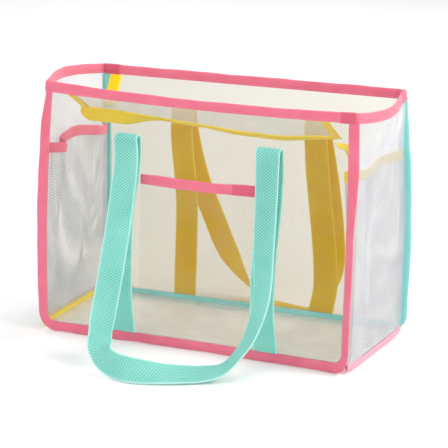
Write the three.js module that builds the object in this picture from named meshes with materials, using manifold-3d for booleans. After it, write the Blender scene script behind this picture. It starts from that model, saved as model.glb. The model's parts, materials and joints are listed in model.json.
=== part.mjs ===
// Clear beach bag: film panels, net end gussets, folded-tape bindings, webbing handles,
// an inner flap, three pockets and a small key hook. Millimetres, +Z up, front towards -Y.
import * as THREE from 'three';
import { mergeVertices } from 'three/addons/utils/BufferGeometryUtils.js';
import Module from 'manifold-3d';

const wasm = await Module();
wasm.setup();

// ---- driving dimensions ----
const WIDTH = 400;            // over the front binding
const DEPTH = 172;            // over the front and back bindings
const HEIGHT = 305;           // floor to the top of the rim
const FILM = 0.8;             // clear film and net thickness
const GAP = 0.3;              // room left between pieces that touch
const TAPE_W = 12;            // visible width of a folded binding tape
const TAPE_T = 3.4;           // thickness of a folded binding over its film
const SLIM_T = 2.6;           // thickness of the lighter pocket and flap bindings
const CORNER_R = 22;          // lower corners of the front and back panels
const BASE_Z = 6;             // underside of the bottom panel
const RIM_R = 2;              // rim corners in plan, on the tape's middle line
const RIM_X = 197;            // middle line of the rim at its ends
const RIM_BULGE = 8;          // how far the rim bows out over each gusset
const GUSSET_X = 194;         // middle surface of a gusset below the rim
const CREASE = 8;             // depth of the inward crease down each gusset
const CREASE_Y = 30;          // how wide the crease spreads
const FLARE_Z = 235;          // height from which a gusset flares out to the rim
const POCKET_TOP = 232;       // top of the two side pockets
const POCKET_SLACK = 13;      // how far a side pocket hangs open
const FRONT_POCKET_TOP = 209;
const FRONT_POCKET_SLACK = 8;
const WEB_W = 30;             // handle webbing width
const WEB_T = 1.6;            // handle webbing thickness
const STRAP_X = 90;           // half the spacing of the sewn straps on each face
const FRONT_SHIFT = 10;       // how far the front straps and pocket sit to the right of the middle
const STRAP_TOP = 250;        // where the sewn straps end and the handles fold over
const HANDLE_Y = 92;          // the handles' fold lines, from the bag's middle plane
const FOLD_R = 4;             // radius of the fold at each handle root
const FLAP_HALF = 168;        // half the width of the inner flap
const FLAP_DEPTH = 62;
const FLAP_DROOP = 33;        // degrees below level at which the flap rests
const FLAP_R = 10;            // outer corners of the flap
const FLAP_Y = 80.5;          // flap hinge line, in front of the middle plane
const FLAP_Z = HEIGHT - 11;
const KEY_X = -180;           // key strap, near the back left corner
const KEY_Y = 78.5;
const KEY_Z = HEIGHT - 14.5;
const KEY_LEAN = 30;          // degrees that the key strap leans off vertical at rest
const KEY_W = 16;
const KEY_LEN = 36;           // hinge line to the eye's bar
const BODY_Y = 42;            // the bag's middle plane, behind the middle of everything

const FACE_Y = DEPTH / 2;                 // outer face of the front and back bindings
const PANEL_Y = FACE_Y - TAPE_T / 2;      // middle of the front and back films
const GUSSET_HALF = FACE_Y - TAPE_T - GAP;
const RIM_Z = HEIGHT - TAPE_W;
const EDGE = 1.2;                         // film stops this far inside a binding's outer edge
const SLOT = FILM + 2 * GAP;

// ---- finishes ----
const film = () => new THREE.MeshStandardMaterial({
  color: 0xe9eeee, roughness: 0.12, metalness: 0, transparent: true, opacity: 0.3,
});
const net = () => new THREE.MeshStandardMaterial({
  color: 0xf4f5f6, roughness: 0.7, metalness: 0, transparent: true, opacity: 0.55,
});
const tape = (color) => new THREE.MeshStandardMaterial({ color, roughness: 0.75, metalness: 0 });
const nickel = () => new THREE.MeshStandardMaterial({ color: 0xc9c9cc, roughness: 0.25, metalness: 1 });
const PINK = 0xf77f9b;
const MINT = 0x76d3c0;
const YELLOW = 0xf7dc33;

// ---- helpers ----
function clean(geometry) {
  const bare = geometry.clone();
  bare.deleteAttribute('normal');
  bare.deleteAttribute('uv');
  return mergeVertices(bare, 1e-4);
}

function solid(geometry) {
  const g = clean(geometry);
  return new wasm.Manifold(new wasm.Mesh({
    numProp: 3,
    vertProperties: new Float32Array(g.attributes.position.array),
    triVerts: new Uint32Array(g.index.array),
  }));
}

function cut(body, ...tools) {
  let result = solid(body);
  for (const tool of tools) {
    result = result.subtract(solid(tool));
  }
  return fromSolid(result);
}

function join(...parts) {
  return fromSolid(parts.map(solid).reduce((a, b) => a.add(b)));
}

function fromSolid(result) {
  const mesh = result.getMesh();
  const g = new THREE.BufferGeometry();
  g.setAttribute('position', new THREE.BufferAttribute(new Float32Array(mesh.vertProperties), 3));
  g.setIndex(new THREE.BufferAttribute(new Uint32Array(mesh.triVerts), 1));
  g.computeVertexNormals();
  return g;
}

function piece(name, geometry, material) {
  const mesh = new THREE.Mesh(geometry, material);
  mesh.name = name;
  return mesh;
}

// moves every vertex of a geometry by map(x, y, z) -> [x, y, z]
function shaped(geometry, map) {
  const p = geometry.attributes.position;
  for (let i = 0; i < p.count; i += 1) {
    p.setXYZ(i, ...map(p.getX(i), p.getY(i), p.getZ(i)));
  }
  geometry.computeVertexNormals();
  return geometry;
}

// an outline drawn in X and Z, given thickness along Y about the plane y
function upright(shape, thickness, y, curveSegments = 6) {
  const g = new THREE.ExtrudeGeometry(shape, { depth: thickness, bevelEnabled: false, curveSegments });
  return g.rotateX(Math.PI / 2).translate(0, y + thickness / 2, 0);
}

const mix = (a, b, t) => a + (b - a) * t;
const ease = (t) => THREE.MathUtils.smoothstep(t, 0, 1);

// ---- front, back and bottom panels ----
// panel outline, inset from the binding's outer edge; its top corners stop under the rim
function panelShape(inset) {
  const half = WIDTH / 2 - inset;
  const r = CORNER_R - inset;
  const shoulder = RIM_X - RIM_R - 3;
  const low = RIM_Z - GAP;
  const s = new THREE.Shape();
  s.moveTo(-half, low);
  s.lineTo(-half, inset + r);
  s.absarc(-half + r, inset + r, r, Math.PI, 1.5 * Math.PI);
  s.absarc(half - r, inset + r, r, 1.5 * Math.PI, 2 * Math.PI);
  s.lineTo(half, low);
  s.lineTo(shoulder, low);
  s.lineTo(shoulder, HEIGHT - EDGE - GAP);
  s.lineTo(-shoulder, HEIGHT - EDGE - GAP);
  s.lineTo(-shoulder, low);
  s.closePath();
  return s;
}

// U of tape round the sides and the foot of a panel
function bindingShape() {
  const half = WIDTH / 2;
  const r = CORNER_R;
  const top = RIM_Z - GAP;
  const s = new THREE.Shape();
  s.moveTo(-half, top);
  s.lineTo(-half, r);
  s.absarc(-half + r, r, r, Math.PI, 1.5 * Math.PI);
  s.absarc(half - r, r, r, 1.5 * Math.PI, 2 * Math.PI);
  s.lineTo(half, top);
  s.lineTo(half - TAPE_W, top);
  s.lineTo(half - TAPE_W, r);
  s.absarc(half - r, r, r - TAPE_W, 0, -Math.PI / 2, true);
  s.absarc(-half + r, r, r - TAPE_W, -Math.PI / 2, -Math.PI, true);
  s.lineTo(-half + TAPE_W, top);
  s.closePath();
  return s;
}

function panelAndBinding(side, names, color) {
  const y = side * PANEL_Y;
  const panel = upright(panelShape(EDGE + GAP), FILM, y);
  const slot = upright(panelShape(EDGE), SLOT, y);
  const binding = cut(upright(bindingShape(), TAPE_T, y), slot);
  return [piece(names[0], panel, film()), piece(names[1], binding, tape(color))];
}

function bottomPanel() {
  const size = [2 * (GUSSET_X - TAPE_T / 2 - GAP), 2 * GUSSET_HALF, FILM];
  const g = new THREE.BoxGeometry(...size).translate(0, 0, BASE_Z + FILM / 2);
  return piece('bottom_panel', g, film());
}

// ---- rim ----
// plan outline of the rim, offset outwards by d from the tape's middle line
function rimX(y) {
  const t = Math.min(Math.abs(y) / GUSSET_HALF, 1);
  return RIM_X + RIM_BULGE * (1 - t * t) ** 2;
}

function rimPlan(d) {
  const points = [];
  const steps = 16;
  const quarter = 4;
  const cx = RIM_X - RIM_R;
  const cy = PANEL_Y - RIM_R;
  for (let side = 1; side >= -1; side -= 2) {
    for (let i = 0; i <= steps; i += 1) {
      const y = side * mix(-GUSSET_HALF, GUSSET_HALF, i / steps);
      points.push(new THREE.Vector2(side * (rimX(y) + d), y));
    }
    for (let i = 1; i <= quarter; i += 1) {
      const a = (i / quarter) * (Math.PI / 2);
      const r = RIM_R + d;
      points.push(new THREE.Vector2(side * (cx + r * Math.cos(a)), side * (cy + r * Math.sin(a))));
    }
    for (let i = 0; i < quarter; i += 1) {
      const a = (i / quarter) * (Math.PI / 2);
      const r = RIM_R + d;
      points.push(new THREE.Vector2(-side * (cx + r * Math.sin(a)), side * (cy + r * Math.cos(a))));
    }
  }
  return points;
}

function ring(outer, inner, z0, z1) {
  const s = new THREE.Shape(rimPlan(outer));
  s.holes.push(new THREE.Path(rimPlan(inner)));
  const g = new THREE.ExtrudeGeometry(s, { depth: z1 - z0, bevelEnabled: false });
  return g.translate(0, 0, z0);
}

function rim() {
  const band = ring(TAPE_T / 2, -TAPE_T / 2, RIM_Z, HEIGHT);
  const slot = ring(SLOT / 2, -SLOT / 2, RIM_Z - 5, HEIGHT - EDGE);
  return piece('rim_binding', cut(band, slot), tape(PINK));
}

// ---- gussets and their pockets ----
// the gusset's middle surface: creased inwards low down, following the rim at the top
function gussetX(y, z) {
  const up = THREE.MathUtils.clamp((z - TAPE_W - 1) / (FLARE_Z - TAPE_W), 0, 1);
  const crease = CREASE * Math.exp(-((y / CREASE_Y) ** 2)) * Math.sin(Math.PI * up) ** 2;
  return mix(GUSSET_X - crease, rimX(y), ease((z - FLARE_Z) / (RIM_Z - 2 - FLARE_Z)));
}

function gusset(side, name) {
  const foot = TAPE_W + 1;
  const straight = RIM_Z - 2;
  const bands = 12;
  // row heights: one row in the foot binding, even rows between, one row in the rim
  const heights = [EDGE + GAP];
  for (let i = 0; i <= bands; i += 1) {
    heights.push(mix(foot, straight, i / bands));
  }
  heights.push(HEIGHT - EDGE - GAP);
  const rows = heights.length - 1;
  const g = new THREE.BoxGeometry(FILM, 2 * GUSSET_HALF, rows, 1, 16, rows);
  const map = (x, y, row) => {
    const z = heights[Math.round(row + rows / 2)];
    return [side * gussetX(y, z) + x, y, z];
  };
  return piece(name, shaped(g, map), net());
}

function gussetFoot(side, name, color) {
  const box = new THREE.BoxGeometry(TAPE_T, 2 * GUSSET_HALF, TAPE_W).translate(0, 0, TAPE_W / 2);
  const slot = new THREE.BoxGeometry(SLOT, 2 * GUSSET_HALF + 2, TAPE_W).translate(0, 0, TAPE_W / 2 + EDGE);
  const g = cut(box, slot).translate(side * GUSSET_X, 0, 0);
  return piece(name, g, tape(color));
}

// a side pocket hangs off the gusset by its slack, most at the middle of its mouth
function pocketX(y, z) {
  const half = GUSSET_HALF - 1;
  const open = (1 - Math.min(Math.abs(y) / half, 1) ** 2) ** 2;
  const rise = ease((z - 60) / (POCKET_TOP - 60));
  return gussetX(y, z) - 2.4 - POCKET_SLACK * open * rise;
}

function slab(t, w, z0, z1, map, rows) {
  const g = new THREE.BoxGeometry(t, w, z1 - z0, 1, 16, rows).translate(0, 0, (z0 + z1) / 2);
  return shaped(g, map);
}

function sidePocket(side, names, color) {
  const w = 2 * (GUSSET_HALF - 1);
  const top = POCKET_TOP;
  // the mouth is straight up and down over the tape's width
  const map = (x, y, z) => [side * pocketX(y, Math.min(z, top - TAPE_W - 1) + TAPE_W + 1) + x, y, z];
  const sheet = slab(FILM, w, TAPE_W + GAP, top - EDGE - GAP, map, 10);
  const band = slab(SLIM_T, w, top - TAPE_W, top, map, 1);
  const slot = slab(SLOT, w + 4, top - TAPE_W - 1, top - EDGE, map, 1);
  return [piece(names[0], sheet, net()), piece(names[1], cut(band, slot), tape(color))];
}

// ---- front pocket ----
function frontPocket() {
  const half = STRAP_X - WEB_W / 2 - GAP;
  const top = FRONT_POCKET_TOP;
  const base = -(PANEL_Y + FILM / 2 + GAP + SLIM_T / 2);
  const bow = (x, z) => {
    const open = (1 - Math.min(Math.abs(x) / half, 1) ** 2) ** 2;
    const rise = ease((Math.min(z, top - TAPE_W - 1) + TAPE_W + 1 - 40) / (top - 40));
    return base - FRONT_POCKET_SLACK * open * rise;
  };
  const make = (t, w, z0, z1, rows) => {
    const g = new THREE.BoxGeometry(w, t, z1 - z0, 14, 1, rows).translate(0, 0, (z0 + z1) / 2);
    return shaped(g, (x, y, z) => [x + FRONT_SHIFT, y + bow(x, z), z]);
  };
  const sheet = make(FILM, 2 * half, TAPE_W + GAP, top - EDGE - GAP, 8);
  const band = make(SLIM_T, 2 * half, top - TAPE_W, top, 1);
  const slot = make(SLOT, 2 * half + 4, top - TAPE_W - 1, top - EDGE, 1);
  return [
    piece('front_pocket', sheet, film()),
    piece('front_pocket_binding', cut(band, slot), tape(PINK)),
  ];
}

// ---- handles ----
function sewnStrap(side, x, name, color) {
  const z0 = TAPE_W + GAP;
  const y = side * (PANEL_Y + FILM / 2 + GAP + WEB_T / 2);
  const g = new THREE.BoxGeometry(WEB_W, WEB_T, STRAP_TOP - z0);
  g.translate(x, y, (z0 + STRAP_TOP) / 2);
  return piece(name, g, tape(color));
}

// A flat strip swept along a curve. Each of its points has the direction of the strip's width.
class WebbingPath extends THREE.CatmullRomCurve3 {
  constructor(rows) {
    super(rows.map(([x, y, z]) => new THREE.Vector3(x, y, z)), false, 'centripetal');
    this.widths = rows.map(([, , , x, y, z]) => new THREE.Vector3(x, y, z));
  }

  computeFrenetFrames(segments) {
    const frames = { tangents: [], normals: [], binormals: [] };
    const last = this.widths.length - 1;
    for (let i = 0; i <= segments; i += 1) {
      const at = this.getUtoTmapping(i / segments) * last;
      const k = Math.min(Math.floor(at), last - 1);
      const t = this.getTangentAt(i / segments);
      const n = this.widths[k].clone().lerp(this.widths[k + 1], at - k);
      n.addScaledVector(t, -n.dot(t)).normalize();
      frames.tangents.push(t);
      frames.normals.push(n);
      frames.binormals.push(new THREE.Vector3().crossVectors(t, n));
    }
    return frames;
  }
}

function webbing(rows) {
  const s = new THREE.Shape();
  s.moveTo(-WEB_W / 2, -WEB_T / 2);
  s.lineTo(WEB_W / 2, -WEB_T / 2);
  s.lineTo(WEB_W / 2, WEB_T / 2);
  s.lineTo(-WEB_W / 2, WEB_T / 2);
  s.closePath();
  const extrudePath = new WebbingPath(rows);
  return new THREE.ExtrudeGeometry(s, { steps: 84, bevelEnabled: false, extrudePath });
}

// the quarter turn of the fold, at x, on the front (side -1) or back (side 1)
function foldRows(x, side, width) {
  const rows = [];
  for (let i = 0; i <= 3; i += 1) {
    const a = (i / 3) * (Math.PI / 2);
    const y = side * (HANDLE_Y + FOLD_R * Math.sin(a));
    rows.push([x, y, STRAP_TOP + FOLD_R * Math.cos(a), width, 0, 0]);
  }
  return rows;
}

function handle(side, shift, name, color, run) {
  const left = foldRows(shift - STRAP_X, side, 1);
  const right = foldRows(shift + STRAP_X, side, -1).reverse();
  return piece(name, webbing([...left, ...run, ...right]), tape(color));
}

// The front loop hangs down, meets the floor on its edge and lies forwards on it. Each row is a
// place and then the direction of the webbing's width there.
const FRONT_RUN = [
  [-77, -102, 230, 1, 0.1, 0],
  [-77, -118, 168, 0.95, 0.3, 0],
  [-78, -140, 100, 0.92, 0.39, 0],
  [-77, -160, 59, 0.9, 0.42, 0],
  [-73, -178, 35, 0.5, 0.85, -0.05],
  [-58, -203, 20.5, 0.15, 0.6, 0.75],
  [-36, -220, 16.2, 0.05, 0.3, 0.95],
  [-14, -223, 14.4, -0.1, 0.5, 0.86],
  [14, -211, 10.6, -0.25, 0.75, 0.57],
  [40, -197, 8.6, -0.4, 0.8, 0.42],
  [60, -184, 8, -0.5, 0.75, 0.32],
  [80, -174, 13, -0.5, 0.8, 0.1],
  [95, -167, 29, -0.58, 0.81, 0],
  [105, -154, 49, -0.67, 0.74, 0],
  [109, -131, 88, -0.85, 0.53, 0],
  [104, -114, 142, -0.96, 0.28, 0],
  [101, -102, 200, -0.99, 0.14, 0],
];

// the back loop swings across behind the bag and lies close to its foot
const BACK_RUN = [
  [-89, 104, 224, 1, 0, 0],
  [-80, 118, 162, 1, 0.1, 0],
  [-63, 131, 107, 0.98, 0.15, 0],
  [-46, 137, 64, 0.95, 0, 0.1],
  [-18, 136, 26, 0.6, -0.7, 0.25],
  [12, 127, 6, 0.2, -1, 0.06],
  [44, 118, 2.4, 0, -1, 0],
  [76, 114, 5, -0.1, -1, 0.05],
  [97, 117, 27, -0.4, -0.9, 0],
  [106, 119, 60, -0.85, -0.5, 0],
  [107, 116, 103, -0.98, -0.2, 0],
  [102, 108, 170, -1, 0, 0],
  [95, 100, 224, -1, 0, 0],
];

// ---- inner flap, drawn level with its hinge line on the X axis ----
function flap() {
  const root = 1.6;           // the sheet starts this far from its hinge line
  const outline = (inset, start) => {
    const half = FLAP_HALF - inset;
    const end = FLAP_DEPTH - inset;
    const r = FLAP_R - Math.min(inset, 2);
    const s = new THREE.Shape();
    s.moveTo(-half, start);
    s.lineTo(half, start);
    s.lineTo(half, end - r);
    s.absarc(half - r, end - r, r, 0, Math.PI / 2);
    s.absarc(-half + r, end - r, r, Math.PI / 2, Math.PI);
    s.closePath();
    return s;
  };
  const level = (shape, t) => {
    const g = new THREE.ExtrudeGeometry(shape, { depth: t, bevelEnabled: false, curveSegments: 4 });
    return g.translate(0, 0, -t / 2);
  };
  const sheet = level(outline(EDGE + GAP, root), FILM);
  const band = cut(
    level(outline(0, root), SLIM_T),
    level(outline(TAPE_W, root - 5), 2 * SLIM_T),
    level(outline(EDGE, root - 5), SLOT),
  );
  const group = new THREE.Group();
  group.add(piece('inner_flap', sheet, film()), piece('flap_binding', band, tape(YELLOW)));
  group.rotation.x = THREE.MathUtils.degToRad(-FLAP_DROOP);
  group.position.set(0, -FLAP_Y, FLAP_Z);
  return group;
}

// ---- key strap and snap hook, drawn hanging straight down from the origin ----
const EYE_BAR = 2.2;          // square section of the eye's wire
const EYE_HALF = KEY_W / 2 + 0.5 + EYE_BAR;
const EYE_Z = -KEY_LEN;       // middle of the bar in the strap's loop
const BOSS_Z = EYE_Z - 9;     // underside of the swivel boss
const BOSS_R = 3.2;
const BOSS_H = 3;
const BORE_R = 1.6;
const STUD_R = 1.2;
const HEAD_R = 2.1;

// an upright round rod on the hook's axis, its middle at z
function rod(radius, height, z) {
  return new THREE.CylinderGeometry(radius, radius, height, 18).rotateX(Math.PI / 2).translate(0, 0, z);
}

function keyStrap() {
  const loop = 3.2;           // outer radius of the strap's end round the eye's bar
  const ply = WEB_T;
  const s = new THREE.Shape();
  s.moveTo(-ply, 0);
  s.lineTo(-ply, EYE_Z + 8);
  s.lineTo(-loop, EYE_Z + 1);
  s.absarc(0, EYE_Z, loop, Math.PI - 0.2, 2 * Math.PI + 0.2);
  s.lineTo(ply, EYE_Z + 8);
  s.lineTo(ply, 0);
  s.closePath();
  const hole = new THREE.Path();
  hole.absarc(0, EYE_Z, loop - 1.3, 0, 2 * Math.PI, true);
  s.holes.push(hole);
  const g = new THREE.ExtrudeGeometry(s, { depth: KEY_W, bevelEnabled: false, curveSegments: 8 });
  // the profile is drawn in Y and Z and given its width along X
  g.applyMatrix4(new THREE.Matrix4().makeBasis(
    new THREE.Vector3(0, 1, 0), new THREE.Vector3(0, 0, 1), new THREE.Vector3(1, 0, 0),
  ));
  return piece('key_strap', g.translate(-KEY_W / 2, 0, 0), tape(YELLOW));
}

function hookEye() {
  const top = EYE_Z + EYE_BAR / 2;
  const s = new THREE.Shape();
  s.moveTo(-EYE_HALF, top);
  s.lineTo(-EYE_HALF, EYE_Z - 2);
  s.lineTo(-3.4, BOSS_Z);
  s.lineTo(3.4, BOSS_Z);
  s.lineTo(EYE_HALF, EYE_Z - 2);
  s.lineTo(EYE_HALF, top);
  s.closePath();
  const inner = EYE_HALF - EYE_BAR;
  const hole = new THREE.Path();
  hole.moveTo(-inner, top - EYE_BAR);
  hole.lineTo(inner, top - EYE_BAR);
  hole.lineTo(inner, EYE_Z - 3);
  hole.lineTo(2.6, BOSS_Z + 3.2);
  hole.lineTo(-2.6, BOSS_Z + 3.2);
  hole.lineTo(-inner, EYE_Z - 3);
  hole.closePath();
  s.holes.push(hole);
  const frame = upright(s, EYE_BAR, 0);
  const middle = BOSS_Z + BOSS_H / 2;
  const boss = rod(BOSS_R, BOSS_H, middle);
  const bore = rod(BORE_R, BOSS_H + 5, middle);
  return piece('hook_eye', cut(join(frame, boss), bore), nickel());
}

// the snap hook is a long ring with a window that its gate closes
const HOOK_W = 12;
const HOOK_H = 19;
const HOOK_WIRE = 2.6;
const HOOK_MID = BOSS_Z - 1 - HOOK_H / 2;
const GATE_LOW = HOOK_MID - 3.6;
const GATE_HIGH = HOOK_MID + 3.4;

function stadium(width, height) {
  const r = width / 2;
  const z = (height - width) / 2;
  const s = new THREE.Shape();
  s.absarc(0, HOOK_MID + z, r, 0, Math.PI);
  s.absarc(0, HOOK_MID - z, r, Math.PI, 2 * Math.PI);
  s.closePath();
  return s;
}

function hookBody() {
  const s = stadium(HOOK_W, HOOK_H);
  s.holes.push(new THREE.Path(stadium(HOOK_W - 2 * HOOK_WIRE, HOOK_H - 2 * HOOK_WIRE).getPoints(8)));
  const hook = upright(s, HOOK_WIRE, 0, 8);
  const gateRoom = GATE_HIGH - GATE_LOW + 2 * GAP;
  const window = new THREE.BoxGeometry(2 * HOOK_WIRE, 2 * HOOK_WIRE, gateRoom);
  window.translate(HOOK_W / 2, 0, (GATE_LOW + GATE_HIGH) / 2);
  const studTop = BOSS_Z + 4.2;
  const studLow = HOOK_MID + HOOK_H / 2 - 1;
  const stud = rod(STUD_R, studTop - studLow, (studTop + studLow) / 2);
  const head = rod(HEAD_R, 1, BOSS_Z + BOSS_H + 0.9);
  return piece('hook_body', cut(join(hook, stud, head), window), nickel());
}

function hookGate() {
  const s = new THREE.Shape();
  const x0 = HOOK_W / 2 - HOOK_WIRE + 0.2;
  const x1 = HOOK_W / 2 - 0.2;
  const r = (x1 - x0) / 2;
  // round lower end about the pivot, a small thumb nib near the upper end
  s.absarc(x0 + r, GATE_LOW + r, r, Math.PI, 2 * Math.PI);
  s.lineTo(x1, GATE_HIGH - 2.4);
  s.lineTo(x1 + 1.1, GATE_HIGH - 2);
  s.lineTo(x1 + 1.1, GATE_HIGH - 1);
  s.lineTo(x1, GATE_HIGH - 0.6);
  s.lineTo(x1, GATE_HIGH);
  s.lineTo(x0, GATE_HIGH);
  s.closePath();
  return piece('hook_gate', upright(s, HOOK_WIRE - 0.4, 0), nickel());
}

function keyHook() {
  const group = new THREE.Group();
  group.add(keyStrap(), hookEye(), hookBody(), hookGate());
  group.rotation.x = THREE.MathUtils.degToRad(-KEY_LEAN);
  group.position.set(KEY_X, KEY_Y, KEY_Z);
  return group;
}

// ---- assembly ----
const bag = new THREE.Group();
bag.add(
  ...panelAndBinding(-1, ['front_panel', 'front_binding'], PINK),
  ...panelAndBinding(1, ['back_panel', 'back_binding'], MINT),
  bottomPanel(),
  rim(),
  gusset(-1, 'left_gusset'),
  gusset(1, 'right_gusset'),
  gussetFoot(-1, 'left_foot_binding', YELLOW),
  gussetFoot(1, 'right_foot_binding', PINK),
  ...sidePocket(-1, ['left_pocket', 'left_pocket_binding'], PINK),
  ...sidePocket(1, ['right_pocket', 'right_pocket_binding'], YELLOW),
  ...frontPocket(),
  sewnStrap(-1, FRONT_SHIFT - STRAP_X, 'front_strap_left', MINT),
  sewnStrap(-1, FRONT_SHIFT + STRAP_X, 'front_strap_right', MINT),
  sewnStrap(1, -STRAP_X, 'back_strap_left', YELLOW),
  sewnStrap(1, STRAP_X, 'back_strap_right', YELLOW),
  handle(-1, FRONT_SHIFT, 'front_handle', MINT, FRONT_RUN),
  handle(1, 0, 'back_handle', YELLOW, BACK_RUN),
  flap(),
  keyHook(),
);
bag.position.y = BODY_Y;
bag.updateMatrixWorld(true);

export default bag;
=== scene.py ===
"""Clear beach bag: film panels, net end gussets, folded-tape bindings, webbing handles, an inner
flap, three pockets and a small key hook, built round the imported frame. Shapes are worked out in
millimetres about the bag's middle plane, sagged by one shared function, and written in metres."""
import json
import math
from functools import partial

import bpy
import numpy as np
from mathutils import Matrix, Vector


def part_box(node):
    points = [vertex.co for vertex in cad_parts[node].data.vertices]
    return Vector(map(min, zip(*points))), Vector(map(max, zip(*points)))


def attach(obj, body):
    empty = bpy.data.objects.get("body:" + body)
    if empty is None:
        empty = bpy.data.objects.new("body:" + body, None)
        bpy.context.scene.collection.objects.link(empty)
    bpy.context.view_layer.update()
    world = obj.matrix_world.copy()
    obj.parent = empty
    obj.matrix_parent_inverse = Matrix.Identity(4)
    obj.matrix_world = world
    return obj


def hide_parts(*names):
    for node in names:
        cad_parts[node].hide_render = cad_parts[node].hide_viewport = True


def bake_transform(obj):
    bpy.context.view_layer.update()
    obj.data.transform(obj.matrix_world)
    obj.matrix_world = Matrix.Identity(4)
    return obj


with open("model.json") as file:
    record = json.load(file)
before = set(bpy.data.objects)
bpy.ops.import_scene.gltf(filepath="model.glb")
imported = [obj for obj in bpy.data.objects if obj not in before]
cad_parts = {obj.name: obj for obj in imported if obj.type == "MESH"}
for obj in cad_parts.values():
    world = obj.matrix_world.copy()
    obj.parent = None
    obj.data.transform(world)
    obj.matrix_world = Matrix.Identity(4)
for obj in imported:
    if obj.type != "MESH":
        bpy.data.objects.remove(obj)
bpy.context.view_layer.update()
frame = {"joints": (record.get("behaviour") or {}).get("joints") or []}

MM = 0.001


# ---- measures read from the frame, in millimetres ----
def span(node):
    low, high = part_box(node)
    return np.array(low) / MM, np.array(high) / MM


def joint_place(name):
    joint = next(j for j in frame["joints"] if j["name"] == name)
    return np.array(joint["pos_m"]) / MM


FRONT_FILM = span("front_panel")
BACK_FILM = span("back_panel")
MID_Y = (FRONT_FILM[0][1] + BACK_FILM[1][1]) / 2
PANEL_Y = (BACK_FILM[0][1] + BACK_FILM[1][1]) / 2 - MID_Y
BIND = span("front_binding")
HALF_W = BIND[1][0]
TAPE_T = BIND[1][1] - BIND[0][1]
RIM = span("rim_binding")
HEIGHT = RIM[1][2]
RIM_Z = RIM[0][2]
TAPE_W = HEIGHT - RIM_Z
FOOT = span("left_foot_binding")
GUSSET_X = -(FOOT[0][0] + FOOT[1][0]) / 2
GUSSET_HALF = (FOOT[1][1] - FOOT[0][1]) / 2
POCKET_TOP = span("left_pocket")[1][2] + 1.5      # fold of the pocket's mouth tape
SLIP = span("front_pocket_binding")
SLIP_HALF = (SLIP[1][0] - SLIP[0][0]) / 2
SLIP_TOP = SLIP[1][2]
STRAP_L = span("front_strap_left")
STRAP_R = span("front_strap_right")
STRAP_X = (STRAP_R[0][0] - STRAP_L[0][0]) / 2
FRONT_SHIFT = (STRAP_R[0][0] + STRAP_L[1][0]) / 2
WEB_W = STRAP_R[1][0] - STRAP_R[0][0]
WEB_T = STRAP_R[1][1] - STRAP_R[0][1]
STRAP_Z = (STRAP_R[0][2], STRAP_R[1][2])
STRAP_Y = PANEL_Y + 0.7 + WEB_T / 2     # the sewn webbing's middle, just clear of the film
LOOP_HINGE = joint_place("back_loop_lift")
LOOP_Y, LOOP_Z = LOOP_HINGE[1] - MID_Y, LOOP_HINGE[2]
FLAP_HINGE = joint_place("flap_fold") - np.array([0, MID_Y, 0])
FLAP_HALF = span("flap_binding")[1][0]
KEY_HINGE = joint_place("key_swing") - np.array([0, MID_Y, 0])

# ---- measures chosen here, in millimetres ----
FILM_T = 0.5
FILM_IN = 1.6           # how far a film's edge stands in from the fold of its binding
CORNER_R = 22.0         # the panels' rounded foot corners
RIM_X = 197.0           # half the rim's length between its corners
RIM_BULGE = 8.0         # how far the rim's ends bow out past that
RIM_R = 2.0
MOUTH_T = 2.4           # the pockets' mouth tapes, folded over a single thin layer


# ---- shared helpers ----
def smooth(t):
    t = np.clip(t, 0, 1)
    return t * t * (3 - 2 * t)


def wander(s, seed):
    """A slow hand-sewn unevenness along a length s in millimetres, about -1 to 1."""
    return 0.6 * np.sin(s / 17.0 + seed) + 0.4 * np.sin(s / 7.3 + 2.1 * seed)


# how far each corner of the real bag stands off the CAD box: left, right for x, y and z
TOP_FRONT = ((5, 0, 5), (4, 0, -0.5))
TOP_BACK = ((-4, 0, 0.7), (6, 1, 0.5))
FOOT_FRONT = ((-1.5, -8, 0), (8, -10.5, 0))
FOOT_BACK = ((-6, -2, 0), (16, 3, 0))
EDGE_BULGE = {"front left": -6.5, "front right": 5.0, "back right": 12.5}
RIM_DIP, FOOT_BOW = 4.8, 4.0            # the front's middle: sunk at the rim, bowed out at the foot
FRONT_SWELL, BACK_SWELL = 4.0, 3.0      # the faces bow out half way up
LEFT_END_OUT, LEFT_END_UP = 8.0, 4.5    # the rim's left end is pulled out and up
RIGHT_END_OUT, RIGHT_END_DOWN = 5.0, 4.5    # its right end out and down
HOLD_X, HOLD_Z = 34.0, 20.0             # reach of the still patch round each handle root


def film_ripple(x, z):
    """Soft creases in the clear film."""
    broad = np.sin(x / 41 + 1.3 * np.sin(z / 57)) * np.sin(z / 49 + 0.6)
    low = np.sin((x + 0.8 * z) / 17 + 2 * np.sin(z / 39)) * np.exp(-z / 80)
    return 0.9 * broad + 0.7 * low


def on_floor(points):
    return np.maximum(points, (-np.inf, -np.inf, 0.1))


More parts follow.
